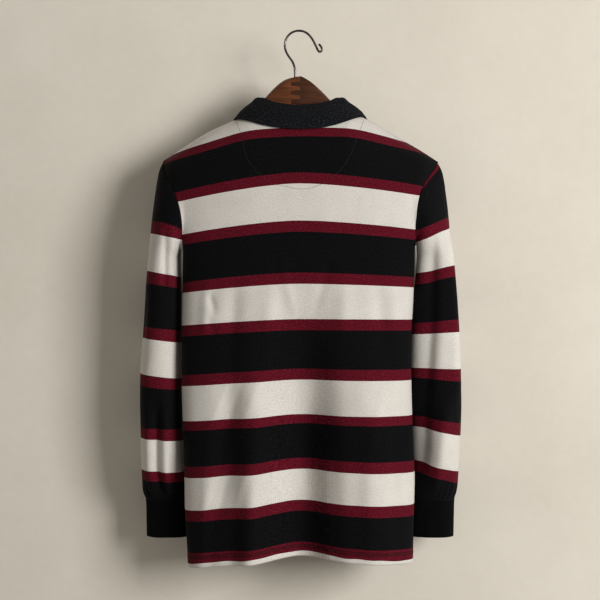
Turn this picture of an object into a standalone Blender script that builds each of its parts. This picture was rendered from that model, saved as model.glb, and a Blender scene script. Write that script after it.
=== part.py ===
"""Long-sleeved striped polo shirt on a contoured wooden hanger, buttoned and hanging.

Metres, +Z up. The shirt's front faces -Y and its back +Y, the wearer's left is +X.
The origin is where the hook's crook bears on a rod. All heights below it are negative.
Tables hold millimetres, a row per section, and each column is named above its table.
"""
import math

import bmesh
import bpy
import numpy as np

MM = 0.001

# Cloth walls and the space left at every seam
CLOTH = 1.5
RIB = 2.4
SEAM = 0.36
ARM_SEAM = 0.6
HEM_TURN = 26.0
HEM_EXTRA = 0.9

# Panel columns: each shoulder, then the neck
SHOULDER_COLS = 11
NECK_COLS = 12
PANEL_COLS = 2 * SHOULDER_COLS + NECK_COLS
BODY_ROWS = 14

# Body below the arms
HEM_Z = -868.0
UNDERARM_Z = -345.0
SIDE_Y = 8.0
BACK_POWER = 2.8
FRONT_POWER = 2.3

# height, half width to the left, half width to the right, back depth, front depth
BODY = np.array((
    (-890, 185.5, 187.0, 66, 66),
    (-845, 187.0, 187.3, 67, 68),
    (-800, 190.5, 188.5, 68, 70),
    (-740, 191.0, 189.8, 68, 70),
    (-680, 192.5, 187.2, 67, 70),
    (-610, 195.5, 184.5, 66, 70),
    (-510, 195.8, 183.5, 64, 70),
    (-447, 195.0, 187.5, 62, 70),
    (-365, 193.5, 190.5, 61, 70),
    (-340, 193.0, 190.0, 60.8, 70),
))

# How far the cloth's level lines sag beside the middle: height, sag left, sag right
SAG = np.array((
    (-868, 19, 12),
    (-777, 17.5, 7),
    (-633, 12, 2),
    (-480, 11, 1),
    (-345, 20, 12),
    (-300, 23, 15),
    (-240, 29, 19),
    (-165, 34, 22),
))
SAG_POWER = 1.4
SAG_WIDTH = 190.0
# How quickly the folds fade toward the side seams, and the armhole's edge into the panel
FOLD_FADE = 2.5
EDGE_POWER = 2.0
# How the panel's depth leans in to the shoulder seam, and more so beside the neck
LEAN_START = 3.0
LEAN_POWER = 0.6
LEAN_NECK = 0.5
SECTION_STEPS = 400

# Armhole from underarm (0) to shoulder tip (1):
# share of the height, x left, x right, y at the back, y at the front
ARMHOLE = np.array((
    (0.00, 193.5, 190.5, 8, 8),
    (0.03, 193.3, 190.2, 20, -6),
    (0.08, 193.0, 190.0, 30, -18),
    (0.15, 192.6, 189.6, 38, -28),
    (0.32, 192.7, 189.6, 46, -40),
    (0.50, 198.0, 192.5, 45, -46),
    (0.60, 204.0, 196.0, 40, -46),
    (0.70, 213.0, 201.5, 31, -44),
    (0.85, 222.0, 216.5, 13, -35),
    (0.95, 226.5, 227.5, -1, -22),
    (1.00, 228.0, 231.3, -10, -10),
))
ARM_SHARES = (0.0, 0.03, 0.08, 0.15, 0.25, 0.36, 0.47, 0.58, 0.69, 0.80, 0.90, 0.96, 1.0)

# Shoulder seam from the neck to the tip: distance from the middle, height, y
SHOULDER_LEFT = np.array((
    (84, -137.0, 2),
    (112.5, -149.7, 0),
    (155, -168.1, -4),
    (189.4, -190.0, -7),
    (228, -214.5, -10),
))
SHOULDER_RIGHT = np.array((
    (84, -132.0, 2),
    (106.3, -143.5, 0),
    (159.4, -174.9, -4),
    (198, -195.3, -8),
    (231.3, -216.9, -10),
))
TIP_LEFT = SHOULDER_LEFT[-1][0]
TIP_RIGHT = SHOULDER_RIGHT[-1][0]

# Neck seam
NECK_HALF = 84.0
NECK_Y = 2.0
BACK_NECK_DEPTH = 34.0
BACK_NECK_Z = -152.0
FRONT_NECK_DEPTH = 68.0
FRONT_NECK_Z = -207.0
SLIT_HALF = 15.0
NECK_DROP_POWER = 1.6

# Broad folds of the back and the front, growing downward:
# 1 back or -1 front, middle x, reach to the left, reach to the right, rise,
# height where it starts, height where it is full
FOLDS = np.array((
    (1, -7, 88, 70, -50, -370, -700),
    (1, -118, 60, 66, 15, -420, -760),
    (1, 78, 40, 36, 9, -400, -700),
    (1, 112, 28, 28, -7, -400, -700),
    (-1, 40, 60, 56, -20, -420, -720),
    (-1, -62, 54, 58, -16, -440, -720),
))

# Sleeve rings below the armhole:
# height, inner x left, outer x left, inner x right, outer x right, middle y, half depth
SLEEVE = np.array((
    (-374, 201.0, 252.0, 198.0, 252.5, -14.0, 57),
    (-405, 199.5, 256.0, 196.5, 256.0, -15.0, 57),
    (-445, 199.2, 259.0, 193.0, 260.0, -16.0, 56),
    (-495, 199.6, 262.0, 190.0, 264.0, -17.0, 55),
    (-560, 199.6, 267.0, 188.5, 268.0, -19.0, 53),
    (-615, 199.2, 268.5, 189.0, 270.5, -20.0, 51),
    (-675, 197.0, 267.0, 191.5, 269.5, -22.0, 48),
    (-727, 195.2, 266.5, 193.5, 267.0, -25.0, 44),
    (-761, 192.0, 265.0, 191.5, 265.5, -28.0, 38),
    (-775.5, 187.5, 261.5, 188.0, 262.0, -30.0, 32),
    (-782.5, 184.8, 259.5, 185.2, 260.0, -30.5, 28),
))
SLEEVE_POWER = 2.2
CAP_STEPS = (0.0, 0.05, 0.3, 0.55, 0.8)
CAP_OUT = 6.0
CAP_RISE = 1.5
CAP_DROP = 5.5
CAP_BOW_X = 3.0
CAP_BOW_Y = 5.0

# Cuff rings: height, inner x left, outer x left, inner x right, outer x right, middle y, half depth
CUFF = np.array((
    (-782.5, 184.8, 259.5, 185.2, 260.0, -30.5, 28),
    (-791, 184.5, 259.0, 184.8, 259.3, -30.5, 27.5),
    (-817, 184.5, 258.5, 184.8, 258.7, -30.5, 27),
    (-844, 185.0, 258.0, 185.2, 258.0, -30.5, 26.5),
))

# Collar from the middle of the back (0) over the shoulder (0.5) to the front end (1):
# turn, roll x, roll y, roll z, edge x, edge y, edge z
COLLAR = np.array((
    (0.00, 0, 33, -125.5, 0, 46, -166.5),
    (0.15, 27, 31, -124.0, 38, 44, -165.0),
    (0.30, 51, 22, -118.0, 76, 33, -159.5),
    (0.42, 65, 9, -110.5, 101, 14, -149.0),
    (0.50, 69.5, -1, -108.5, 111, 0, -145.5),
    (0.60, 69, -16, -111.5, 113, -24, -153.0),
    (0.75, 55, -42, -131.0, 102, -58, -182.0),
    (0.90, 26, -64, -165.0, 74, -76, -232.0),
    (1.00, 3, -71, -184.0, 45, -80, -258.0),
))
COLLAR_STAND_STEPS = 3
COLLAR_FALL_STEPS = 5
COLLAR_PART = 1.2
COLLAR_RIGHT_RISE = 4.0
ROLL_RADIUS = 2.6
ROLL_TURNS = (0, 60, 120, 180)
FALL_BOW = 6.0
STAND_UP = 0.56
STAND_LEAN = 0.9
LIFT = 5.2
LIFT_REACH = 25.0

# Placket and buttons
BAND_SIDE = 2.0
BAND = 1.6
BAND_SPACE = 0.35
BAND_TAIL = 12.0
BAND_TOP = 0.76
BUTTON_SPACE = 0.65
BUTTONS = (("button_top", 20.0), ("button_middle", 68.0), ("button_low", 116.0))
# Button profile from its middle out and round to the back: radius, height
BUTTON = ((0.0, 2.0), (3.4, 2.0), (4.4, 2.9), (5.3, 2.8), (5.8, 2.0), (5.6, 0.6), (4.6, 0.0), (0.0, 0.0))
BUTTON_SIDES = 16

# Hanger: distance from the joint's middle, top left, top right, bottom, y, half thickness
HANGER = np.array((
    (8, -74.0, -74.0, -128, 0, 10.0),
    (20, -79.5, -85.0, -129, 0, 10.0),
    (35, -90.0, -97.5, -134, 0, 9.6),
    (50, -104.0, -114.0, -142, 0, 9.2),
    (66, -122.0, -131.0, -152, 0, 8.6),
    (84, -148.5, -146.0, -166, 1, 8.0),
    (112, -155.8, -152.6, -179, 1, 8.6),
    (150, -170.8, -174.4, -195, 0, 9.6),
    (188, -193.7, -195.2, -214, -3, 10.5),
    (210, -208.6, -209.7, -229, -5, 10.5),
    (219, -215.6, -217.2, -228, -6, 8.0),
))
# Share of the thickness left at the top and bottom edges, and how late the edges round off
EDGE_THICK = 0.35
EDGE_ROUND = 5
FINGER_LONG = 15.0
FINGER_TOP = -84.8
FINGER_HIGH = 7.35
FINGER_SLOPE = 1.6
FINGERS = 6
WOOD_SPACE = 0.32

# Hook wire, from the wood up round the crook to the small return loop: x, z
WIRE = (
    (8.5, -79.5), (8.5, -72), (8.6, -64.5), (9.4, -58.5), (12.4, -50), (17, -43.5),
    (21.6, -36.5), (24.6, -29), (25.2, -21), (23.2, -12), (17.8, -4.4), (10, 0.4),
    (1, 1.85), (-8, -0.2), (-15.2, -5.4), (-21.2, -13.4), (-25.4, -21.5), (-28.6, -28.4),
    (-31.2, -32.6), (-34.2, -33.2), (-36.4, -30.2), (-35.6, -25.6), (-31.6, -20.5),
)
WIRE_RADIUS = 1.65
WIRE_SIDES = 10
WIRE_FINE = 3
HOLE_RADIUS = 1.97
HOLE_DEEP = 7.0
HOLE_SIDES = 20

# Colour, roughness and metal of each kind of piece
LOOKS = {
    "back": ((0.62, 0.57, 0.5), 0.9, 0),
    "front": ((0.62, 0.57, 0.5), 0.9, 0),
    "sleeve": ((0.62, 0.57, 0.5), 0.9, 0),
    "cuff": ((0.008, 0.009, 0.012), 0.95, 0),
    "collar": ((0.015, 0.018, 0.024), 0.95, 0),
    "placket": ((0.015, 0.018, 0.024), 0.9, 0),
    "button": ((0.03, 0.03, 0.035), 0.4, 0),
    "hanger": ((0.11, 0.04, 0.02), 0.4, 0),
    "hook": ((0.35, 0.35, 0.36), 0.3, 1),
}


def read(rows, at, column):
    """Value of a table's column at a place along its first column."""
    order = np.argsort(rows[:, 0])
    return np.interp(at, rows[order, 0], rows[order, column])


def soft(value):
    """Smooth step from 0 to 1."""
    value = np.clip(value, 0, 1)
    return value * value * (3 - 2 * value)


def sag(x, z):
    """How far a level line of the cloth hangs below its middle."""
    side = read(SAG, z, 1) if x > 0 else read(SAG, z, 2)
    return side * (abs(x) / SAG_WIDTH) ** SAG_POWER


def fold(side, x, z):
    """Rise of the broad folds at one place of the body."""
    rise = 0.0
    for which, middle, left, right, high, start, full in FOLDS:
        if which != side:
            continue
        away = x - middle
        reach = left if away > 0 else right
        if abs(away) < reach:
            share = soft((start - z) / (start - full))
            rise += high * share * 0.5 * (1 + math.cos(math.pi * away / reach))
    return rise


def body_section(side, level):
    """One row of a panel below the arms, its points an even length of cloth apart."""
    power = BACK_POWER if side > 0 else FRONT_POWER
    fine = []
    for step in range(SECTION_STEPS + 1):
        turn = math.pi * step / SECTION_STEPS
        cos, sin = math.cos(turn), math.sin(turn)
        x = math.copysign(abs(cos) ** (2 / power), cos)
        edge_z = level - sag(math.copysign(SAG_WIDTH, cos), level)
        half = read(BODY, edge_z, 1) if cos > 0 else read(BODY, edge_z, 2)
        x *= half
        z = level - sag(x, level)
        deep = read(BODY, z, 3) if side > 0 else read(BODY, z, 4)
        lip = abs(sin) ** (2 / power)
        y = SIDE_Y + side * lip * (deep + fold(side, x, z) * min(1.0, FOLD_FADE * (1 - abs(x) / half)))
        fine.append((x, y, z))
    fine = np.array(fine)
    run = np.concatenate(((0.0,), np.cumsum(np.linalg.norm(np.diff(fine, axis=0), axis=1))))
    wanted = np.linspace(0, run[-1], PANEL_COLS + 1)
    return np.stack([np.interp(wanted, run, fine[:, k]) for k in range(3)], axis=1)


def neck_point(side, turn):
    """Point of the neck seam, turn running from the left shoulder (0) to the right (1)."""
    angle = math.pi * turn
    cos, sin = math.cos(angle), math.sin(angle)
    shoulder = SHOULDER_LEFT[0][1] if cos > 0 else SHOULDER_RIGHT[0][1]
    middle_share = 1 - abs(cos) ** NECK_DROP_POWER
    even = 0.5 * (SHOULDER_LEFT[0][1] + SHOULDER_RIGHT[0][1])
    shoulder = even + (shoulder - even) * abs(cos)
    if side > 0:
        z = shoulder + (BACK_NECK_Z - shoulder) * middle_share
        return NECK_HALF * cos, NECK_Y + BACK_NECK_DEPTH * sin, z
    z = shoulder + (FRONT_NECK_Z - shoulder) * middle_share
    return NECK_HALF * cos, NECK_Y - FRONT_NECK_DEPTH * sin, z


def top_edge(side):
    """Shoulder seam, neck seam and shoulder seam, from the left tip to the right tip."""
    points = []
    for step in range(SHOULDER_COLS):
        x = TIP_LEFT - (TIP_LEFT - NECK_HALF) * step / SHOULDER_COLS
        points.append((x, read(SHOULDER_LEFT, x, 2), read(SHOULDER_LEFT, x, 1)))
    slit = 0.5 - math.acos(SLIT_HALF / NECK_HALF) / math.pi
    half = NECK_COLS // 2
    turns = [(0.5 - slit) * k / (half - 1) for k in range(half)]
    turns = turns + [0.5] + [1 - turn for turn in reversed(turns)]
    points += [neck_point(side, turn) for turn in turns]
    for step in range(1, SHOULDER_COLS + 1):
        x = NECK_HALF + (TIP_RIGHT - NECK_HALF) * step / SHOULDER_COLS
        points.append((-x, read(SHOULDER_RIGHT, x, 2), read(SHOULDER_RIGHT, x, 1)))
    return np.array(points)


def panel(side):
    """Mid surface of the back (1) or front (-1): rows from the hem up, columns from left to right."""
    levels = [HEM_Z, HEM_Z + 13, HEM_Z + HEM_TURN, HEM_Z + HEM_TURN + 1]
    levels += list(np.linspace(HEM_Z + HEM_TURN + 1, UNDERARM_Z, BODY_ROWS + 1)[1:])
    rows = [body_section(side, level) for level in levels]
    low = rows[-1]
    top = top_edge(side)
    low_share = np.where(low[:, 0] > 0, low[:, 0] / low[0, 0], low[:, 0] / -low[-1, 0])
    top_share = np.where(top[:, 0] > 0, top[:, 0] / top[0, 0], top[:, 0] / -top[-1, 0])
    toward_neck = np.clip((top[:, 1] - NECK_Y) / (side * BACK_NECK_DEPTH), 0, 1)
    low_reach = np.max(side * (low[:, 1] - SIDE_Y))
    low_round = side * (low[:, 1] - SIDE_Y) / low_reach
    for share in ARM_SHARES[1:]:
        across = low_share + (top_share - low_share) * soft(share)
        x = np.where(across > 0, across * read(ARMHOLE, share, 1), across * read(ARMHOLE, share, 2))
        z = low[:, 2] + (top[:, 2] - low[:, 2]) * share
        keep = (1 - share ** LEAN_START) ** (LEAN_POWER + LEAN_NECK * toward_neck)
        face_y = top[:, 1] + (SIDE_Y + side * low_reach - top[:, 1]) * keep
        edge_y = read(ARMHOLE, share, 3 if side > 0 else 4)
        rounding = low_round + (1 - low_round) * share ** 2
        y = SIDE_Y + (face_y - SIDE_Y) * rounding + (edge_y - SIDE_Y) * (1 - rounding) ** EDGE_POWER
        y[0] = y[-1] = edge_y
        rows.append(np.stack((x, y, z), axis=1))
    return np.array(rows)


def armhole_loop(back, front, column):
    """Armhole seam from the underarm up the back, over the tip and down the front."""
    first = len(back) - len(ARM_SHARES)
    up = back[first:, column]
    down = front[first:-1, column][::-1]
    return np.concatenate((up, down[:-1]))


def ring(row, hand, count):
    """Flattened ring of a sleeve or cuff, its first point innermost, then round the back."""
    z, inner_left, outer_left, inner_right, outer_right, y, half = row
    inner, outer = (inner_left, outer_left) if hand > 0 else (inner_right, outer_right)
    points = []
    for k in range(count):
        angle = 2 * math.pi * k / count
        cos, sin = math.cos(angle), math.sin(angle)
        swing = math.copysign(abs(cos) ** (2 / SLEEVE_POWER), cos)
        x = 0.5 * (inner + outer) - 0.5 * (outer - inner) * swing
        points.append((hand * x, y + half * math.copysign(abs(sin) ** (2 / SLEEVE_POWER), sin), z))
    return np.array(points)


def sleeve(loop, hand):
    """Mid surface of a sleeve: rings from the armhole down to the cuff seam."""
    count = len(loop)
    hang = ring(SLEEVE[0], hand, count)
    tip = 0.5 * (1 - np.cos(2 * np.pi * np.arange(count) / count))
    rows = [loop]
    for step in CAP_STEPS[1:]:
        out = loop.copy()
        out[:, 0] += hand * CAP_OUT
        out[:, 2] += CAP_RISE - CAP_DROP * tip
        bow = math.sin(math.pi * step)
        mixed = out + (hang - out) * step
        mixed[:, 0] += hand * CAP_BOW_X * bow * tip
        mixed[:, 1] += CAP_BOW_Y * bow * np.sin(2 * np.pi * np.arange(count) / count)
        rows.append(mixed)
    rows += [ring(row, hand, count) for row in SLEEVE]
    return np.array(rows)


def cuff(hand, count):
    return np.array([ring(row, hand, count) for row in CUFF])


def face_sums(points, wrap, skip, total):
    """Add each corner's share of the faces' facings to the running total."""
    rows, cols = points.shape[:2]
    for j in range(rows - 1):
        for i in range(cols if wrap else cols - 1):
            if skip is not None and skip(j, i):
                continue
            after = (i + 1) % cols
            corners = (points[j, i], points[j, after], points[j + 1, after], points[j + 1, i])
            facing = np.cross(corners[2] - corners[0], corners[3] - corners[1])
            facing /= np.linalg.norm(facing) + 1e-9
            for corner in corners:
                key = tuple(np.round(corner, 2))
                total[key] = total.get(key, 0) + facing


def facings(points, total):
    """Unit facing of every point, shared where pieces meet."""
    found = np.zeros_like(points)
    for j in range(points.shape[0]):
        for i in range(points.shape[1]):
            vector = total.get(tuple(np.round(points[j, i], 2)), np.zeros(3))
            size = np.linalg.norm(vector)
            found[j, i] = vector / size if size > 1e-9 else (0, 0, 1)
    return found


def draw_in(points, edges, amount):
    """Move the named edges of a grid inward along the cloth."""
    moved = points.copy()
    pairs = {"low": (0, 1), "high": (-1, -2)}
    for edge in edges:
        if edge in pairs:
            here, there = pairs[edge]
            step = points[there] - points[here]
            moved[here] += amount * step / np.linalg.norm(step, axis=1)[:, None]
        else:
            here, there = (0, 1) if edge == "left" else (-1, -2)
            step = points[:, there] - points[:, here]
            moved[:, here] += amount * step / np.linalg.norm(step, axis=1)[:, None]
    return moved


def solid(name, outer, inner, wrap=False, skip=None, smooth=True):
    """Closed cloth body between an outer and an inner grid."""
    rows, cols = outer.shape[:2]
    mesh = bmesh.new()
    grids = [[[None] * cols for _ in range(rows)] for _ in range(2)]
    present = set()
    for j in range(rows - 1):
        for i in range(cols if wrap else cols - 1):
            if skip is None or not skip(j, i):
                present.add((j, i))

    def vertex(layer, j, i):
        i %= cols
        if grids[layer][j][i] is None:
            grids[layer][j][i] = mesh.verts.new((outer, inner)[layer][j, i] * MM)
        return grids[layer][j][i]

    used = {}
    for j, i in present:
        corners = ((j, i), (j, i + 1), (j + 1, i + 1), (j + 1, i))
        mesh.faces.new([vertex(0, *corner) for corner in corners])
        mesh.faces.new([vertex(1, *corner) for corner in reversed(corners)])
        for k in range(4):
            a = (corners[k][0], corners[k][1] % cols)
            b = (corners[(k + 1) % 4][0], corners[(k + 1) % 4][1] % cols)
            used.setdefault(frozenset((a, b)), []).append((a, b))
    for sides in used.values():
        if len(sides) == 1:
            a, b = sides[0]
            mesh.faces.new((vertex(0, *b), vertex(0, *a), vertex(1, *a), vertex(1, *b)))
    bmesh.ops.recalc_face_normals(mesh, faces=mesh.faces)
    return finish(name, mesh, smooth)


def finish(name, mesh, smooth=True):
    """Turn a mesh into a named object with its own material slot."""
    for face in mesh.faces:
        face.smooth = smooth
    data = bpy.data.meshes.new(name)
    mesh.to_mesh(data)
    mesh.free()
    made = bpy.data.objects.new(name, data)
    bpy.context.collection.objects.link(made)
    colour, rough, metal = LOOKS[name.split("_")[0]]
    material = bpy.data.materials.new(name)
    material.use_nodes = True
    shader = material.node_tree.nodes["Principled BSDF"]
    shader.inputs["Base Color"].default_value = (*colour, 1)
    shader.inputs["Roughness"].default_value = rough
    shader.inputs["Metallic"].default_value = metal
    data.materials.append(material)
    return made


def collar_grid(back, front, back_facing, front_facing, dense):
    """Mid surface of the collar: columns round the neck, rows from the stand over the roll to the edge."""
    first, last = SHOULDER_COLS, SHOULDER_COLS + NECK_COLS
    middle = SHOULDER_COLS + NECK_COLS // 2
    joined = []
    for back_rows, front_rows in ((back, front), (back_facing, front_facing)):
        end = front_rows[-1, middle:middle + 1]
        left_front = front_rows[-1, first + 1:middle][::-1]
        right_front = front_rows[-1, middle + 1:last][::-1]
        joined.append(np.concatenate((end, left_front, back_rows[-1, first:last + 1], right_front, end)))
    seam, lean = joined
    seam[0, 0] += COLLAR_PART
    seam[-1, 0] -= COLLAR_PART
    half_front = len(left_front) + 1
    half_back = NECK_COLS // 2
    turns = [1 - 0.5 * k / half_front for k in range(half_front)]
    turns += [0.5 - 0.5 * k / half_back for k in range(half_back)] + [0.0]
    turns += list(reversed(turns[:-1]))
    columns = []
    for k, turn in enumerate(turns):
        hand = 1 if k <= len(turns) // 2 else -1
        base = seam[k] + (0, 0, STAND_UP + STAND_LEAN * abs(lean[k][2]))
        roll = np.array([read(COLLAR, turn, c) for c in (1, 2, 3)]) * (hand, 1, 1)
        edge = np.array([read(COLLAR, turn, c) for c in (4, 5, 6)]) * (hand, 1, 1)
        if hand < 0:
            edge[2] += COLLAR_RIGHT_RISE * soft(1 - abs(turn - 0.5) / 0.3)
        out = edge - base
        out[2] = 0
        out = out / max(np.linalg.norm(out), 1e-6)
        if turn > 0.6:
            out = out * (1 - soft((turn - 0.6) / 0.3)) + np.array((0, -1, 0)) * soft((turn - 0.6) / 0.3)
            out /= np.linalg.norm(out)
        line = []
        inside = roll - out * ROLL_RADIUS - (0, 0, ROLL_RADIUS)
        outside = roll + out * ROLL_RADIUS - (0, 0, ROLL_RADIUS)
        for step in range(COLLAR_STAND_STEPS):
            line.append(base + (inside - base) * step / COLLAR_STAND_STEPS)
        for angle in ROLL_TURNS:
            swing = math.radians(angle)
            around = np.array((0, 0, math.sin(swing))) - math.cos(swing) * out
            line.append(roll - (0, 0, ROLL_RADIUS) + ROLL_RADIUS * around)
        for step in range(1, COLLAR_FALL_STEPS + 1):
            share = step / COLLAR_FALL_STEPS
            point = outside + (edge - outside) * share + out * FALL_BOW * math.sin(math.pi * share)
            line.append(lift(point, dense))
        columns.append(line)
    return np.array(columns).transpose(1, 0, 2)


def lift(point, dense):
    """Keep a point of the fall clear of the panel that it lies on."""
    places, facing = dense
    for _ in range(3):
        away = point - places
        k = int(np.argmin((away ** 2).sum(axis=1)))
        height = float(np.dot(away[k], facing[k]))
        if height >= LIFT or np.linalg.norm(away[k]) > LIFT_REACH:
            break
        point = point + facing[k] * (LIFT - height)
    return point


def turned(name, profile, middle, axis, sides):
    """Body turned round an axis, its profile running from the middle of one face to the other's."""
    axis = axis / np.linalg.norm(axis)
    across = np.cross(axis, (1.0, 0, 0))
    across /= np.linalg.norm(across)
    other = np.cross(axis, across)
    mesh = bmesh.new()
    rings = []
    for radius, height in profile:
        if radius == 0:
            rings.append([mesh.verts.new((middle + axis * height) * MM)])
            continue
        circle = []
        for k in range(sides):
            angle = 2 * math.pi * k / sides
            spoke = math.cos(angle) * across + math.sin(angle) * other
            circle.append(mesh.verts.new((middle + axis * height + radius * spoke) * MM))
        rings.append(circle)
    for low, high in zip(rings, rings[1:]):
        for k in range(sides):
            n = (k + 1) % sides
            corners = [low[k % len(low)], low[n % len(low)], high[n % len(high)], high[k % len(high)]]
            mesh.faces.new(list(dict.fromkeys(corners)))
    bmesh.ops.recalc_face_normals(mesh, faces=mesh.faces)
    return finish(name, mesh)


def finger_line():
    """Joint line of the hanger's halves, from the bottom up: x, z."""
    line = [(0.0, HANGER[0][3])]
    z = FINGER_TOP - FINGERS * FINGER_HIGH + FINGER_HIGH
    x = 0.0
    for _ in range(FINGERS):
        line.append((x, z - FINGER_SLOPE / 2))
        x = FINGER_LONG - x
        line.append((x, z + FINGER_SLOPE / 2))
        z += FINGER_HIGH
    line.append((x, HANGER[0][1]))
    return np.array(line)


def shift_line(line, amount):
    """Offset a line sideways by an even space."""
    moved = []
    for k in range(len(line)):
        before = line[k] - line[max(k - 1, 0)]
        after = line[min(k + 1, len(line) - 1)] - line[k]
        sides = []
        for step in (before, after):
            size = np.linalg.norm(step)
            if size > 1e-9:
                sides.append(np.array((step[1], -step[0])) / size)
        lean = sum(sides)
        lean /= np.linalg.norm(lean)
        moved.append(line[k] + lean * amount / max(0.35, float(np.dot(lean, sides[0]))))
    return np.array(moved)


def hanger_half(name, hand):
    """One half of the hanger, lofted from the finger joint out to the shoulder."""
    line = shift_line(finger_line(), hand * WOOD_SPACE / 2)
    levels = len(line)
    sections = []
    for number, (x, top_left, top_right, bottom, y, half) in enumerate(HANGER):
        top = top_left if hand > 0 else top_right
        front, back = [], []
        for k in range(levels):
            share = (line[k][1] - line[0][1]) / (line[-1][1] - line[0][1])
            even = k / (levels - 1)
            share += (even - share) * min(1.0, max(0, number - 1) / 3)
            px = hand * x + (FINGER_LONG / 2 * max(0.0, 1 - number / 5) if hand > 0 else 0)
            if number == 0:
                px = line[k][0]
            z = bottom + (top - bottom) * share
            if number < 2 and 0 < k < levels - 1:
                z = line[k][1]
            round_off = max(0.0, 1 - abs(2 * share - 1) ** EDGE_ROUND) ** 0.5
            thick = half * (EDGE_THICK + (1 - EDGE_THICK) * round_off)
            front.append((px, y - thick, z))
            back.append((px, y + thick, z))
        sections.append((front, back))
    mesh = bmesh.new()
    rings = []
    for front, back in sections:
        rings.append([mesh.verts.new(np.array(p) * MM) for p in front + back[::-1]])
    count = 2 * levels
    for low, high in zip(rings, rings[1:]):
        for k in range(count):
            n = (k + 1) % count
            mesh.faces.new((low[k], low[n], high[n], high[k]))
    for end in (rings[0], rings[-1]):
        for k in range(levels - 1):
            mesh.faces.new((end[k], end[k + 1], end[count - 2 - k], end[count - 1 - k]))
    bmesh.ops.recalc_face_normals(mesh, faces=mesh.faces)
    return finish(name, mesh)


def drill(wood, x, top):
    """Hole for the hook's foot."""
    mesh = bmesh.new()
    wide = HOLE_RADIUS * MM
    deep = 2 * HOLE_DEEP * MM
    bmesh.ops.create_cone(mesh, cap_ends=True, segments=HOLE_SIDES, radius1=wide, radius2=wide, depth=deep)
    bmesh.ops.translate(mesh, verts=mesh.verts, vec=(x * MM, 0, top * MM))
    data = bpy.data.meshes.new("hole_cutter")
    mesh.to_mesh(data)
    mesh.free()
    cutter = bpy.data.objects.new("hole_cutter", data)
    bpy.context.collection.objects.link(cutter)
    cutter.hide_render = True
    cutter.display_type = "WIRE"
    cut = wood.modifiers.new("hole", "BOOLEAN")
    cut.operation = "DIFFERENCE"
    cut.solver = "EXACT"
    cut.object = cutter


def smooth_path(points, fine):
    """Curve through the points, with even steps between them."""
    points = np.array(points, dtype=float)
    path = []
    for k in range(len(points) - 1):
        a = points[max(k - 1, 0)]
        b, c = points[k], points[k + 1]
        d = points[min(k + 2, len(points) - 1)]
        for step in range(fine):
            t = step / fine
            curve = (2 * a - 5 * b + 4 * c - d) * t * t + (3 * b - a - 3 * c + d) * t ** 3
            path.append(0.5 * (2 * b + (c - a) * t + curve))
    path.append(points[-1])
    return np.array(path)


def wire(name):
    """Round wire swept along the hook's path, both ends rounded."""
    flat = smooth_path(WIRE, WIRE_FINE)
    path = np.stack((flat[:, 0], np.zeros(len(flat)), flat[:, 1]), axis=1)
    mesh = bmesh.new()
    rings = []
    for k in range(len(path)):
        along = path[min(k + 1, len(path) - 1)] - path[max(k - 1, 0)]
        along /= np.linalg.norm(along)
        side = np.array((-along[2], 0, along[0]))
        ring_points = []
        for n in range(WIRE_SIDES):
            angle = 2 * math.pi * n / WIRE_SIDES
            swing = math.cos(angle) * side + math.sin(angle) * np.array((0, 1.0, 0))
            ring_points.append(path[k] + WIRE_RADIUS * swing)
        rings.append([mesh.verts.new(p * MM) for p in ring_points])
    for low, high in zip(rings, rings[1:]):
        for n in range(WIRE_SIDES):
            m = (n + 1) % WIRE_SIDES
            mesh.faces.new((low[n], low[m], high[m], high[n]))
    for end in (rings[0], rings[-1]):
        mesh.faces.new(end)
    bmesh.ops.recalc_face_normals(mesh, faces=mesh.faces)
    return finish(name, mesh)


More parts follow.
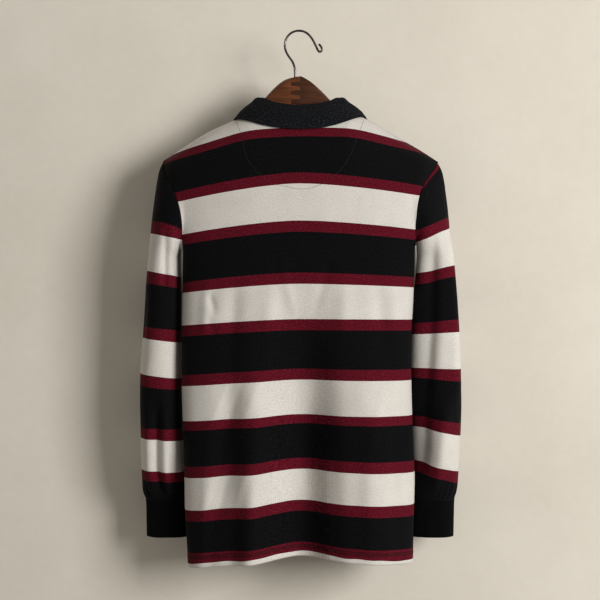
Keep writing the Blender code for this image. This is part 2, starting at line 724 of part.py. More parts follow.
def build():
    back = panel(1)
    front = panel(-1)
    front[:, 0], front[:, -1] = back[:, 0], back[:, -1]
    first = len(back) - len(ARM_SHARES)
    middle = PANEL_COLS // 2
    for side, grid in ((3, back), (4, front)):
        for column in (0, -1):
            for k, share in enumerate(ARM_SHARES):
                grid[first + k, column, 1] = read(ARMHOLE, share, side)
    loops = {1: armhole_loop(back, front, 0), -1: armhole_loop(back, front, -1)}
    sleeves = {hand: sleeve(loops[hand], hand) for hand in loops}
    cuffs = {hand: cuff(hand, len(loops[hand])) for hand in loops}

    def slit(j, i):
        return j >= first and middle - 1 <= i < middle + 1

    total = {}
    face_sums(back, False, None, total)
    face_sums(front[:, ::-1], False, None, total)
    for tubes in (sleeves, cuffs):
        face_sums(tubes[1], True, None, total)
        face_sums(tubes[-1][:, ::-1], True, None, total)

    half = CLOTH / 2
    for name, grid, skip in (("back_panel", back, None), ("front_panel", front, slit)):
        facing = facings(grid, total)
        placed = draw_in(grid, ("high", "left", "right"), SEAM / 2)
        inward = np.full(len(grid), half)
        inward[:3] += HEM_EXTRA
        solid(name, placed + facing * half, placed - facing * inward[:, None, None], skip=skip)

    for hand, word in ((1, "left"), (-1, "right")):
        grid = sleeves[hand]
        facing = facings(grid, total)
        placed = draw_in(draw_in(grid, ("high",), SEAM / 2), ("low",), ARM_SEAM - SEAM / 2)
        solid("sleeve_" + word, placed + facing * half, placed - facing * half, wrap=True)
        grid = cuffs[hand]
        facing = facings(grid, total)
        placed = draw_in(grid, ("low",), SEAM / 2)
        solid("cuff_" + word, placed + facing * RIB / 2, placed - facing * RIB / 2, wrap=True)

    dense = []
    for grid in (back, front):
        facing = facings(grid, total)
        for j in range(first, len(grid) - 1):
            for i in range(PANEL_COLS):
                for a in (0.0, 0.34, 0.67):
                    for b in (0.0, 0.34, 0.67):
                        weights = ((1 - a) * (1 - b), (1 - a) * b, a * (1 - b), a * b)
                        corners = ((j, i), (j, i + 1), (j + 1, i), (j + 1, i + 1))
                        place = sum(w * grid[c] for w, c in zip(weights, corners))
                        lean = sum(w * facing[c] for w, c in zip(weights, corners))
                        dense.append(np.concatenate((place, lean / np.linalg.norm(lean))))
    dense = np.array(dense)
    dense = (dense[:, :3], dense[:, 3:])
    grid = collar_grid(back, front, facings(back, total), facings(front, total), dense)
    around = {}
    face_sums(grid, False, None, around)
    facing = facings(grid, around)
    solid("collar", grid + facing * RIB / 3, grid - facing * RIB / 3)

    facing = facings(front, total)
    tail = BAND_TAIL / np.linalg.norm(front[first - 1, middle] - front[first, middle])
    both = []
    for values in (front, facing):
        part = values[first - 1:, middle - 2:middle + 3].copy()
        part[0] = part[1] + (part[0] - part[1]) * tail
        both.append(part)
    wide = np.linalg.norm(both[0][:, 0] - both[0][:, 1], axis=1)
    share = (BAND_SIDE / wide)[:, None]
    for part in both:
        part[:, 1] += (part[:, 0] - part[:, 1]) * share
        part[:, 3] += (part[:, 4] - part[:, 3]) * share
    band, lean = (part[:, 1:4] for part in both)
    lean = lean / np.linalg.norm(lean, axis=2)[:, :, None]
    band = draw_in(band, ("high",), BAND_TOP)
    near = half + BAND_SPACE
    solid("placket_upper", band + lean * (near + BAND), band + lean * near)
    solid("placket_under", band - lean * near, band - lean * (near + BAND))
    run = np.concatenate(((0,), np.cumsum(np.linalg.norm(np.diff(band[::-1, 1], axis=0), axis=1))))
    for name, below in BUTTONS:
        middle_point = np.array([np.interp(below, run, band[::-1, 1, k]) for k in range(3)])
        axis = np.array([np.interp(below, run, lean[::-1, 1, k]) for k in range(3)])
        turned(name, BUTTON, middle_point + axis * (near + BAND + BUTTON_SPACE), axis, BUTTON_SIDES)

    left = hanger_half("hanger_left", 1)
    hanger_half("hanger_right", -1)
    drill(left, WIRE[0][0], HANGER[0][1])
    wire("hook")


for old in list(bpy.data.objects):
    bpy.data.objects.remove(old, do_unlink=True)
build()
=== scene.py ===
"""Looks of the striped polo shirt, its wooden hanger and its wire hook."""

import math

import bmesh
import bpy
import numpy as np
from mathutils import Matrix, Vector
from mathutils.bvhtree import BVHTree


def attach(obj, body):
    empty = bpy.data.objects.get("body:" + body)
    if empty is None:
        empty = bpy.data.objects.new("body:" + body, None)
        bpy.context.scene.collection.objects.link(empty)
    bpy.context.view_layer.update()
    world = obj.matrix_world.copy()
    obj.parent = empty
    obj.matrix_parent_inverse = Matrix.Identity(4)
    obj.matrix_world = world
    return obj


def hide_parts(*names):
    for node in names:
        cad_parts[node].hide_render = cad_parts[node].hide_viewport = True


MM = 0.001

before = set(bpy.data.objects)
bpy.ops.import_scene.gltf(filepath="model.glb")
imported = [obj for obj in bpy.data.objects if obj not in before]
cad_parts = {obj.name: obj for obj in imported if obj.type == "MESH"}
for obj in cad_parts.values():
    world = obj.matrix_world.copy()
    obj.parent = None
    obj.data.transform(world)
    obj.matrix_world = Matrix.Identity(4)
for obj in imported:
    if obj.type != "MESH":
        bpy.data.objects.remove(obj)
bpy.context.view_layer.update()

# Sizes are in millimetres, unless a line says metres

# Depth of the side seams, and the middle of the neck seen from above
SIDE_Y = 8.0
NECK_MIDDLE = (0.0, -16.0)

# How far the cloth's level lines sag beside the middle: height, sag left, sag right
SAG = np.array((
    (-868, 19, 12),
    (-777, 17.5, 7),
    (-633, 12, 2),
    (-480, 11, 1),
    (-345, 20, 12),
    (-300, 23, 15),
    (-240, 29, 19),
    (-165, 34, 22),
))
# How the sag grows outwards: power, distance where it is full, softness at the middle
SAG_POWER = 1.4
SAG_WIDTH = 190.0
SAG_SOFT = 20.0

# Stripes of the body from the hem up: height where the yarn changes, colour above it
CREAM, BURGUNDY, BLACK = 0, 1, 2
STRIPES = (
    (-861.2, BURGUNDY), (-846.6, BLACK), (-794.1, BURGUNDY), (-777.6, CREAM),
    (-726.3, BURGUNDY), (-709.3, BLACK), (-651.0, BURGUNDY), (-634.5, CREAM),
    (-577.5, BURGUNDY), (-560.5, BLACK), (-497.6, BURGUNDY), (-480.7, CREAM),
    (-422.2, BURGUNDY), (-404.9, BLACK), (-339.1, BURGUNDY), (-319.3, CREAM),
    (-259.4, BURGUNDY), (-241.2, BLACK), (-180.8, BURGUNDY), (-166.0, CREAM),
)
CLOTH_COLOURS = ((0.61, 0.592, 0.558), (0.086, 0.0029, 0.0098), (0.0015, 0.0017, 0.0024))

# Sleeve stripes, each on the body's stripe of that height:
# body height, left outer, left inner, right outer, right inner
SLEEVE_STRIPES = np.array((
    (-180.8, -168, -214, -186, -273),
    (-241.2, -313, -333, -301, -333),
    (-259.4, -333, -349, -321, -353),
    (-319.3, -397, -410, -386, -404),
    (-339.1, -420, -431, -407, -425),
    (-404.9, -493, -500, -480, -487),
    (-422.2, -511, -520, -501, -505),
    (-480.7, -572, -581, -564, -562),
    (-497.6, -591, -598, -584, -577),
    (-560.5, -660, -663, -653, -641),
    (-577.5, -677, -682, -673, -658),
    (-634.5, -730, -734, -733, -715),
    (-651.0, -749, -752, -756, -736),
    (-709.3, -812, -814, -818, -802),
))

# Soft troughs (-) and ridges (+) of the body, on the back (1) or front (-1):
# side, x at the top, height of the top, x at the bottom, height of the bottom, half width, rise
CREASES = (
    (1, 46, -385, 53, -600, 15, 4.4),
    (1, 57, -540, 86, -880, 15, 4.8),
    (1, 104, -380, 112, -560, 13, -3.8),
    (1, 110, -520, 147, -890, 16, -5.0),
    (1, 152, -385, 160, -540, 9, 4.8),
    (1, 146, -590, 168, -890, 10, 3.0),
    (1, -72, -380, -70, -540, 13, 2.4),
    (1, -40, -640, -44, -890, 11, 3.0),
    (1, -92, -600, -98, -890, 16, -3.0),
    (1, -136, -540, -142, -890, 14, 2.5),
    (1, -128, -390, -136, -560, 12, -3.2),
    (1, -158, -380, -160, -640, 10, 2.6),
    (1, 20, -700, 6, -890, 12, -2.4),
    (-1, 92, -520, 96, -890, 15, 4.0),
    (-1, 128, -470, 134, -890, 13, -3.6),
    (-1, 6, -560, 2, -890, 16, 3.6),
    (-1, -108, -500, -112, -890, 15, 3.6),
    (-1, -142, -430, -146, -890, 12, -3.0),
    (-1, -26, -400, -30, -560, 16, -2.2),
    (-1, 60, -390, 66, -520, 14, -2.4),
)

# Slanting and level drag lines: side, x from, height from, x to, height to, half width, rise
DRAGS = (
    (1, 180, -300, 120, -345, 7, -2.2),
    (1, 178, -275, 128, -300, 6, -1.8),
    (1, -176, -285, -118, -330, 7, -2.4),
    (1, -178, -320, -136, -372, 6, -2.0),
    (1, 168, -488, 112, -497, 5, -1.3),
    (1, 150, -470, 136, -500, 4, -1.6),
    (1, 147, -430, 138, -462, 5, -3.2),
    (1, 60, -560, 98, -660, 8, 1.7),
    (1, 88, -560, 122, -660, 8, -1.8),
    (1, 116, -570, 148, -655, 7, 1.5),
    (1, 78, -690, 116, -810, 8, 1.8),
    (1, 104, -690, 140, -810, 8, -2.0),
    (1, 134, -700, 164, -800, 7, 1.5),
    (1, -50, -380, -22, -470, 8, -2.0),
    (1, 28, -390, 8, -480, 8, 1.8),
    (1, -128, -620, -110, -700, 8, 1.8),
    (-1, 180, -300, 118, -352, 7, -2.4),
    (-1, -178, -290, -122, -340, 7, -2.4),
    (-1, -174, -330, -140, -378, 6, -2.0),
    (-1, 60, -250, 26, -330, 6, -1.4),
    (-1, -58, -250, -26, -330, 6, -1.4),
)

# Sleeve creases round the tube: hand, turn at the top, height of the top, turn at the bottom,
# height of the bottom, half width along the cloth, rise. Turn 0 is innermost and 180 outermost,
# over the back for positive turns and over the front for negative ones.
SLEEVE_CREASES = (
    (1, 97, -590, 103, -779, 9, -8.5),
    (1, 74, -570, 76, -779, 8, 4.5),
    (1, 124, -560, 128, -779, 8, 2.5),
    (1, 84, -240, 78, -440, 6, -5.0),
    (1, 62, -250, 58, -440, 6, 3.0),
    (1, 150, -420, 140, -560, 9, -2.4),
    (1, -60, -520, -72, -770, 10, -4.0),
    (1, -110, -430, -118, -700, 12, 3.0),
    (-1, 58, -170, -12, -770, 14, 8.0),
    (-1, 97, -170, 34, -770, 14, -8.5),
    (-1, 138, -170, 132, -640, 14, 8.0),
    (-1, 112, -560, 84, -775, 12, 5.5),
    (-1, -60, -500, -74, -770, 10, -4.0),
    (-1, -116, -420, -122, -690, 12, 3.0),
)
# Gathers above the cuffs: how many round the sleeve, how deep, how far up
GATHERS = (17, 1.3, 46.0)

# Half-moon stitch line under the back of the collar: x, height
HALF_MOON = (
    (106.3, -150), (95.4, -178.4), (87.3, -213.6), (68.4, -240.4), (46.1, -257.4), (23.8, -263.1),
    (-2.3, -267.5), (-31.9, -261), (-61.5, -240.5), (-80.6, -213.8), (-96.3, -174.4), (-105.7, -149),
)

# Fullness of the collar's rolled edge beside the neck: distance from the middle, half width, rise
COLLAR_ROLL = ((75, 5, 2.6), (67, 4, -0.8), (58, 5, 1.2))
# How far the collar's fall hangs lower in the middle of the back, and over what half width
COLLAR_DROP = 2.4
COLLAR_DROP_HALF = 55
# Radius round the neck on which the columns of the collar's knit are counted
NECK_ROUND = 78
# Where the roll and the drop set in: start and run to full, by height or by depth
COLLAR_ROLL_FADE = (-125, 12)
COLLAR_DROP_FADE = (-112, 30)
COLLAR_BACK_FADE = (10, 20)

# Heights of the hem's two rows of stitches
HEM_ROWS = (-849.8, -853.4)
# Waver of the hem's cream edge: height where it starts, run to full, rise at the sides, ripple
EDGE_START, EDGE_RUN, EDGE_SIDES, EDGE_RIPPLE = -854, 8, 2.6, 0.9

# Lift of the stripes over the hanger's arms: rise, distance out, half width, lower end, run to full
YOKE_LIFT = (5.0, 88, 52, -200, 26)

# Where the body's creases have gone: distance from the middle and run, at the sides and by the armholes
SIDE_FADE = (184, 46)
ARMHOLE_FADE = (156, 40)
ARMHOLE_FOOT = -372
# The cloth height above which they fade on the back (1) and on the front (-1), and the run
SHOULDER_FADE = {1: -185, -1: -212}
SHOULDER_RUN = 90
# Half depth of the body's rounded sides, and the run of cloth for each millimetre of it
BODY_HALF_DEPTH = 55
SIDE_SHARE = 0.75

# Share of a crease's length over which it swells, and the height below which it runs on to the hem
CREASE_EASE = 0.45
HEM_TOP = -860
# Share of a drag line's length by which it fades past its ends
DRAG_PAST = 0.15
# Swelling of hung knit: how many waves, how far they lean in radians, shortest and longest
WAVES, WAVE_LEAN, WAVE_SHORT, WAVE_LONG = 12, 0.42, 38, 110
# How high that swelling is, and the seeds of its draws and of the gathers
BODY_WAVE, SLEEVE_WAVE = 0.8, 0.7
BODY_SEED, SLEEVE_SEED, GATHER_SEED = 11, 40, 5

# Sleeves seen from the back: inner edge, width, and how slowly the stripes run above their table
SLEEVE_INNER, SLEEVE_WIDE, CAP_SLOPE = 195, 70, 0.55
# Middle line of a sleeve by height: distance from the body's middle, depth, and half width
SLEEVE_MIDDLE = ((-785, -727, -500, -374, -300, -220), (222, 231, 231, 226, 222, 228))
SLEEVE_DEPTH = ((-785, -675, -500, -374, -300), (-30, -22, -17, -14, -6))
SLEEVE_HALF = ((-785, -727, -500, -374), (37, 35, 33, 27))
SLEEVE_HALF_DEPTH = 50
# Half the sleeve's girth, as the knit's columns and as the creases' widths are measured
KNIT_HALF_GIRTH, CREASE_HALF_GIRTH = 130, 125
# Height where a sleeve ends in its cuff
SLEEVE_END = -782.5
# Ends of a sleeve's creases, as shares of their length, and the run in which the gathers set in
SLEEVE_CREASE_EASE = (0.4, 0.12)
GATHER_EASE = 12
# Heights where a sleeve's creases and its swelling set in and leave off, each with its run
SLEEVE_FADE = (-300, 80)
SLEEVE_WAVE_FADE = (-385, 60)
SLEEVE_WAVE_FOOT = (-780, 40)

# Middle of a cuff: distance from the body's middle, depth, narrowness, half its girth
CUFF_MIDDLE, CUFF_DEPTH, CUFF_NARROW, CUFF_HALF_GIRTH = 221.8, -30.5, 0.76, 101
# Turn in degrees at which the cuff folds in, on the left (1) and right (-1) cuff, and its depth
CUFF_FOLD_AT = {1: 84, -1: 62}
CUFF_FOLD = -2.2
# Heights below which the cuff's waves and its fold set in, each with its run
CUFF_WAVE_FADE = (-786, 12)
CUFF_FOLD_FADE = (-784, 20)

# Placket stitches: distance from the middle, top, foot above the band's end, cross row above the foot
PLACKET_HALF, PLACKET_TOP, FOOT_INSET, CROSS_UP = 13.6, -214, 3.0, 14
# Half length and half width of a buttonhole's two rows of stitches
SLIT_LONG, SLIT_HALF = 7.4, 0.8
# Holes of a button: distance from its middle both ways, radius, and length of the drill
HOLE_AT, HOLE_RADIUS, HOLE_DEEP = 1.45, 0.8, 12
# How far the button's thread lies below the highest part of its rim
THREAD_SUNK = 0.75
# How far out stitches are dropped on the cloth from, in metres
DROP_FROM = 0.3

# Outward growth of the wood and of the wire, which take up what smoothing takes away
WOOD_GROW, WIRE_GROW = 0.12, 0.25

# How closely streaks and pores follow each other along, through and across the board, per metre
STREAK_STRETCH = (14, 90, 160)
PORE_STRETCH = (60, 700, 1500)
# Middle of the finger joint, in metres
JOINT_X = 0.0075

# In metres: corners closer than this are one, edges shorter than this cross the cloth's thickness
MERGE_WITHIN = 0.00001
WALL_EDGE = 0.0045
# Longest edge of a panel's or sleeve's first mesh, in metres, and levels of smoothing of all pieces
PANEL_EDGE = 24 * MM
FINER_LEVELS = 2

# The wall's depth, and its size in metres
WALL_Y = -98.0
WALL_SIZE = 6.0
# Lamps, in metres and watts: name, place, aim, side, power, colour
LAMPS = (
    ("key", (-2.35, 2.45, 0.1), (0.0, 0.0, -0.45), 1.3, 119, (1.0, 0.975, 0.94)),
    ("fill", (2.4, 2.2, 0.2), (0.0, 0.0, -0.5), 2.5, 3.5, (1.0, 0.93, 0.84)),
    ("front_fill", (0.6, -2.6, 0.8), (0.0, 0.0, -0.45), 2.2, 36, (1.0, 0.98, 0.95)),
)
# Light of the room, and its strength
ROOM_COLOUR, ROOM_LIGHT = (1.0, 0.93, 0.84, 1), 0.28
# The camera's place in metres, and its lens and sensor
CAMERA_PLACE, LENS, SENSOR = (0, 2.25, -0.447), 81, 36


def table_at(rows, at, column):
    """Value of a table's column at a place along its first column."""
    order = np.argsort(rows[:, 0])
    return np.interp(at, rows[order, 0], rows[order, column])


def smooth(value):
    """Soft step from 0 to 1."""
    value = np.clip(value, 0, 1)
    return value * value * (3 - 2 * value)


def above(value, start, run):
    """Soft step from 0 at the start to 1 a run above it."""
    return smooth((value - start) / run)


def below(value, start, run):
    """Soft step from 0 at the start to 1 a run below it."""
    return smooth((start - value) / run)


def cloth_height(x, z):
    """Height of the same thread at the middle of the body. The sag is found in a few steps."""
    height = z.copy()
    share = (x * x + SAG_SOFT ** 2) ** (SAG_POWER / 2) - SAG_SOFT ** SAG_POWER
    share = share / SAG_WIDTH ** SAG_POWER
    for _ in range(6):
        side = np.where(x > 0, table_at(SAG, height, 1), table_at(SAG, height, 2))
        height = z + side * share
    rise, beside, half, start, run = YOKE_LIFT
    lift = rise * np.exp(-((np.abs(x) - beside) / half) ** 2)
    return height - lift * above(height, start, run)


def sleeve_height(hand, x, z):
    """Height of the body's stripe that has the same colour as this place of a sleeve."""
    across = np.clip((np.abs(x) - SLEEVE_INNER) / SLEEVE_WIDE, -0.2, 1.1)
    mapped = []
    for column in (1, 2) if hand > 0 else (3, 4):
        order = np.argsort(SLEEVE_STRIPES[:, column])
        at = SLEEVE_STRIPES[order, column]
        value = SLEEVE_STRIPES[order, 0]
        slope = (value[-1] - value[-2]) / (at[-1] - at[-2])
        above = value[-1] + (z - at[-1]) * slope * CAP_SLOPE
        mapped.append(np.where(z > at[-1], above, np.interp(z, at, value)))
    outer, inner = mapped
    return outer * across + inner * (1 - across)


# Meshes


def in_scene(name, data):
    """Object of that data, in the scene."""
    made = bpy.data.objects.new(name, data)
    bpy.context.scene.collection.objects.link(made)
    return made


def mesh_data(name, mesh):
    """Mesh data of a bmesh, which is let go."""
    data = bpy.data.meshes.new(name)
    mesh.to_mesh(data)
    mesh.free()
    return data


def finished_mesh(made):
    """Mesh of an object with its modifiers applied."""
    bpy.context.view_layer.update()
    return bpy.data.meshes.new_from_object(made.evaluated_get(bpy.context.evaluated_depsgraph_get()))


def finer_copy(solid, split=0, corner_angle=35.0, rim_angle=72.0):
    """Finer mesh of a CAD solid. Rims stay sharp so that seams stay shut."""
    mesh = bmesh.new()
    mesh.from_mesh(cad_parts[solid].data)
    bmesh.ops.remove_doubles(mesh, verts=mesh.verts, dist=MERGE_WITHIN)
    bmesh.ops.join_triangles(
        mesh,
        faces=mesh.faces,
        angle_face_threshold=math.radians(50),
        angle_shape_threshold=math.radians(60),
    )
    if split > 0:
        tall = []
        for edge in mesh.edges:
            height = abs(edge.verts[0].co.z - edge.verts[1].co.z)
            if edge.calc_length() > split and height > split * 0.6:
                tall.append(edge)
        bmesh.ops.subdivide_edges(mesh, edges=tall, cuts=1, use_grid_fill=True)
    crease = mesh.edges.layers.float.new("crease_edge")
    for edge in mesh.edges:
        if len(edge.link_faces) != 2:
            continue
        angle = math.degrees(edge.calc_face_angle(0.0))
        thin = edge.calc_length() < WALL_EDGE
        if angle > rim_angle or (thin and angle > corner_angle):
            edge[crease] = 1.0
    made = in_scene(solid + "_fine", mesh_data(solid + "_fine", mesh))
    finer = made.modifiers.new("finer", "SUBSURF")
    finer.levels = FINER_LEVELS
    finer.render_levels = FINER_LEVELS
    finer.boundary_smooth = "PRESERVE_CORNERS"
    result = finished_mesh(made)
    bpy.data.objects.remove(made)
    for polygon in result.polygons:
        polygon.use_smooth = True
    return result


def points_of(data):
    """Points of a mesh, in millimetres."""
    flat = np.zeros(len(data.vertices) * 3, np.float32)
    data.vertices.foreach_get("co", flat)
    return flat.reshape(-1, 3).astype(float) / MM


def set_points(data, points):
    data.vertices.foreach_set("co", (points * MM).astype(np.float32).ravel())
    data.update()


def normals_of(data):
    """Outward direction at each point of a mesh."""
    flat = np.zeros(len(data.vertices) * 3, np.float32)
    data.vertex_normals.foreach_get("vector", flat)
    return flat.reshape(-1, 3)


def set_values(data, name, values):
    """Store one number a point, read by the materials."""
    layer = data.attributes.new(name, "FLOAT", "POINT")
    layer.data.foreach_set("value", np.asarray(values, np.float32))


def piece(name, data, look, *nodes, slot):
    """Finished piece on the one body, in place of the CAD nodes named."""
    made = in_scene(name, data)
    data.materials.clear()
    data.materials.append(look)
    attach(made, "root")
    if nodes:
        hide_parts(*nodes)
    return made


def along(points, x0, z0, x1, z1):
    """Share along a line and distance from it, seen from the front or back."""
    start = np.array((x0, z0), float)
    line = np.array((x1, z1), float) - start
    length = np.linalg.norm(line)
    line /= length
    away = points - start
    return away @ line / length, away @ np.array((-line[1], line[0]))


def body_rise(side, x, height):
    """Rise of the creases over the body, along the cloth's heights."""
    rise = np.zeros_like(x)
    places = np.stack((x, height), axis=1)
    for which, x0, z0, x1, z1, half, high in CREASES:
        if which != side:
            continue
        share = np.clip((z0 - height) / (z0 - z1), 0, 1)
        middle = x0 + (x1 - x0) * share
        grow = smooth(share / CREASE_EASE)
        if z1 > HEM_TOP:
            grow = grow * smooth((1 - share) / CREASE_EASE)
        rise += high * grow * np.exp(-((x - middle) / half) ** 2)
    for which, x0, z0, x1, z1, half, high in DRAGS:
        if which != side:
            continue
        share, off = along(places, x0, z0, x1, z1)
        window = smooth((share + DRAG_PAST) / (2 * DRAG_PAST))
        window = window * smooth((1 + DRAG_PAST - share) / (4 * DRAG_PAST))
        rise += high * window * np.exp(-(off / half) ** 2)
    return rise


def soft_waves(x, height, seed):
    """Slight uneven swelling that any hung knit has."""
    rng = np.random.default_rng(seed)
    total = np.zeros_like(x)
    for _ in range(WAVES):
        angle = rng.normal(0, WAVE_LEAN)
        length = rng.uniform(WAVE_SHORT, WAVE_LONG)
        phase = rng.uniform(0, 2 * math.pi)
        run = x * math.cos(angle) + height * math.sin(angle)
        total += np.cos(run * 2 * math.pi / length + phase) * length / WAVE_LONG
    return total / (WAVES / 2)


# Node helpers

NUMBER = "NodeSocketFloat"
PLACE = "NodeSocketVector"
COLOUR = "NodeSocketColor"


def group(name, inputs, outputs):
    """Empty node group with named sockets, each given with its kind."""
    tree = bpy.data.node_groups.new(name, "ShaderNodeTree")
    for label, kind in inputs.items():
        tree.interface.new_socket(label, in_out="INPUT", socket_type=kind)
    for label, kind in outputs.items():
        tree.interface.new_socket(label, in_out="OUTPUT", socket_type=kind)
    return tree, tree.nodes.new("NodeGroupInput"), tree.nodes.new("NodeGroupOutput")


def node(tree, kind, **settings):
    made = tree.nodes.new(kind)
    for key, value in settings.items():
        setattr(made, key, value)
    return made


def feed(tree, socket, value):
    """Join a socket to another one, or give it a plain value."""
    if isinstance(value, bpy.types.NodeSocket):
        tree.links.new(value, socket)
    elif socket.type == "RGBA":
        socket.default_value = (*value, 1)
    else:
        socket.default_value = value


def give(tree, made, values):
    """Feed several named inputs of a node."""
    for label, value in values.items():
        feed(tree, made.inputs[label], value)
    return made


def placed(tree, effect, values):
    """Outputs of a node group placed among a material's nodes."""
    return give(tree, node(tree, "ShaderNodeGroup", node_tree=effect), values).outputs


def maths(tree, operation, *values, clamp=False):
    made = node(tree, "ShaderNodeMath", operation=operation, use_clamp=clamp)
    for socket, value in zip(made.inputs, values):
        feed(tree, socket, value)
    return made.outputs[0]


def mix(tree, factor, low, high, blend="MIX"):
    made = node(tree, "ShaderNodeMix", data_type="RGBA", blend_type=blend)
    for place, value in ((0, factor), (6, low), (7, high)):
        feed(tree, made.inputs[place], value)
    return made.outputs[2]


def noise(tree, vector, scale, detail=3.0, rough=0.55, distort=0.0):
    made = node(tree, "ShaderNodeTexNoise")
    values = {"Vector": vector, "Scale": scale, "Detail": detail, "Roughness": rough, "Distortion": distort}
    return give(tree, made, values).outputs["Fac"]


def ramp(tree, value, stops, kind="LINEAR"):
    made = node(tree, "ShaderNodeValToRGB")
    made.color_ramp.interpolation = kind
    elements = made.color_ramp.elements
    while len(elements) > 1:
        elements.remove(elements[-1])
    elements[0].position = stops[0][0]
    elements[0].color = (*stops[0][1], 1)
    for place, colour in stops[1:]:
        elements.new(place).color = (*colour, 1)
    tree.links.new(value, made.inputs[0])
    return made.outputs[0]


def shade_by(tree, colour, value, low, high):
    """Colour made a little darker or lighter by a 0 to 1 value."""
    amount = maths(tree, "ADD", maths(tree, "MULTIPLY", value, high - low), low)
    return scaled(tree, colour, amount)


def scaled(tree, colour, amount):
    made = node(tree, "ShaderNodeVectorMath", operation="SCALE")
    feed(tree, made.inputs[0], colour)
    feed(tree, made.inputs["Scale"], amount)
    return made.outputs[0]


def sum_of(tree, *terms):
    """Sum of values, each with its weight."""
    total = None
    for value, weight in terms:
        part = value if weight == 1 else maths(tree, "MULTIPLY", value, weight)
        total = part if total is None else maths(tree, "ADD", total, part)
    return total


def attribute(tree, name):
    return node(tree, "ShaderNodeAttribute", attribute_type="GEOMETRY", attribute_name=name).outputs["Fac"]


def own_place(tree):
    """Place on the piece, in metres."""
    return node(tree, "ShaderNodeTexCoord").outputs["Object"]


def material(name):
    made = bpy.data.materials.new(name)
    made.use_nodes = True
    tree = made.node_tree
    return made, tree, tree.nodes["Principled BSDF"]


def bump(tree, shader, height, distance, strength=1.0):
    made = node(tree, "ShaderNodeBump")
    give(tree, made, {"Height": height, "Distance": distance, "Strength": strength})
    tree.links.new(made.outputs["Normal"], shader.inputs["Normal"])


# Effects that several finishes share


def knit_group():
    """Columns of small V-shaped stitches, with a little uneven yarn."""
    tree, given, out = group(
        "knit",
        dict.fromkeys(("Across", "Up", "Wale", "Course", "Lean", "Rib"), NUMBER),
        dict.fromkeys(("Height", "Yarn", "Fuzz", "Nap"), NUMBER),
    )
    value = given.outputs
    place = node(tree, "ShaderNodeCombineXYZ")
    give(tree, place, {"X": value["Across"], "Y": value["Up"]})
    place = place.outputs[0]
    wander = maths(tree, "MULTIPLY", maths(tree, "SUBTRACT", noise(tree, place, 0.12), 0.5), 0.9)
    across = maths(tree, "DIVIDE", maths(tree, "ADD", value["Across"], wander), value["Wale"])
    share = maths(tree, "FRACT", across)
    middle = maths(tree, "ABSOLUTE", maths(tree, "SUBTRACT", share, 0.5))
    lean = maths(tree, "MULTIPLY", middle, value["Lean"])
    up = maths(tree, "ADD", maths(tree, "DIVIDE", value["Up"], value["Course"]), lean)
    loop = maths(tree, "SINE", maths(tree, "MULTIPLY", maths(tree, "FRACT", up), math.pi))
    column = maths(tree, "SINE", maths(tree, "MULTIPLY", share, math.pi))
    column = maths(tree, "POWER", maths(tree, "MAXIMUM", column, 0.0), 0.6)
    leg = maths(tree, "SINE", maths(tree, "MULTIPLY", middle, 2 * math.pi), clamp=True)
    stitch = maths(tree, "MULTIPLY", maths(tree, "MULTIPLY", loop, 0.45), leg)
    stitch = maths(tree, "ADD", stitch, maths(tree, "MULTIPLY", column, 0.55))
    rib = maths(tree, "SINE", maths(tree, "MULTIPLY", across, math.pi))
    ribbed = maths(tree, "MULTIPLY", maths(tree, "ABSOLUTE", rib), value["Rib"])
    yarn = sum_of(tree, (noise(tree, place, 0.9, 4.0, 0.65), 0.6), (noise(tree, place, 0.035), 0.4))
    give(tree, out, {
        "Height": maths(tree, "ADD", stitch, ribbed),
        "Yarn": yarn,
        "Fuzz": noise(tree, place, 3.5, 3.0, 0.7),
        "Nap": noise(tree, place, 0.42, 4.0, 0.85),
    })
    return tree


def nap_group():
    """Uneven dye and lint, which show most in the dark yarns."""
    tree, given, out = group("nap", {"Color": COLOUR, "Nap": NUMBER, "Strength": NUMBER}, {"Color": COLOUR})
    value = given.outputs
    power = maths(tree, "MULTIPLY", maths(tree, "SUBTRACT", 0.5, value["Nap"]), value["Strength"])
    made = node(tree, "ShaderNodeGamma")
    give(tree, made, {"Color": value["Color"], "Gamma": maths(tree, "ADD", power, 1.0)})
    give(tree, out, {"Color": made.outputs[0]})
    return tree


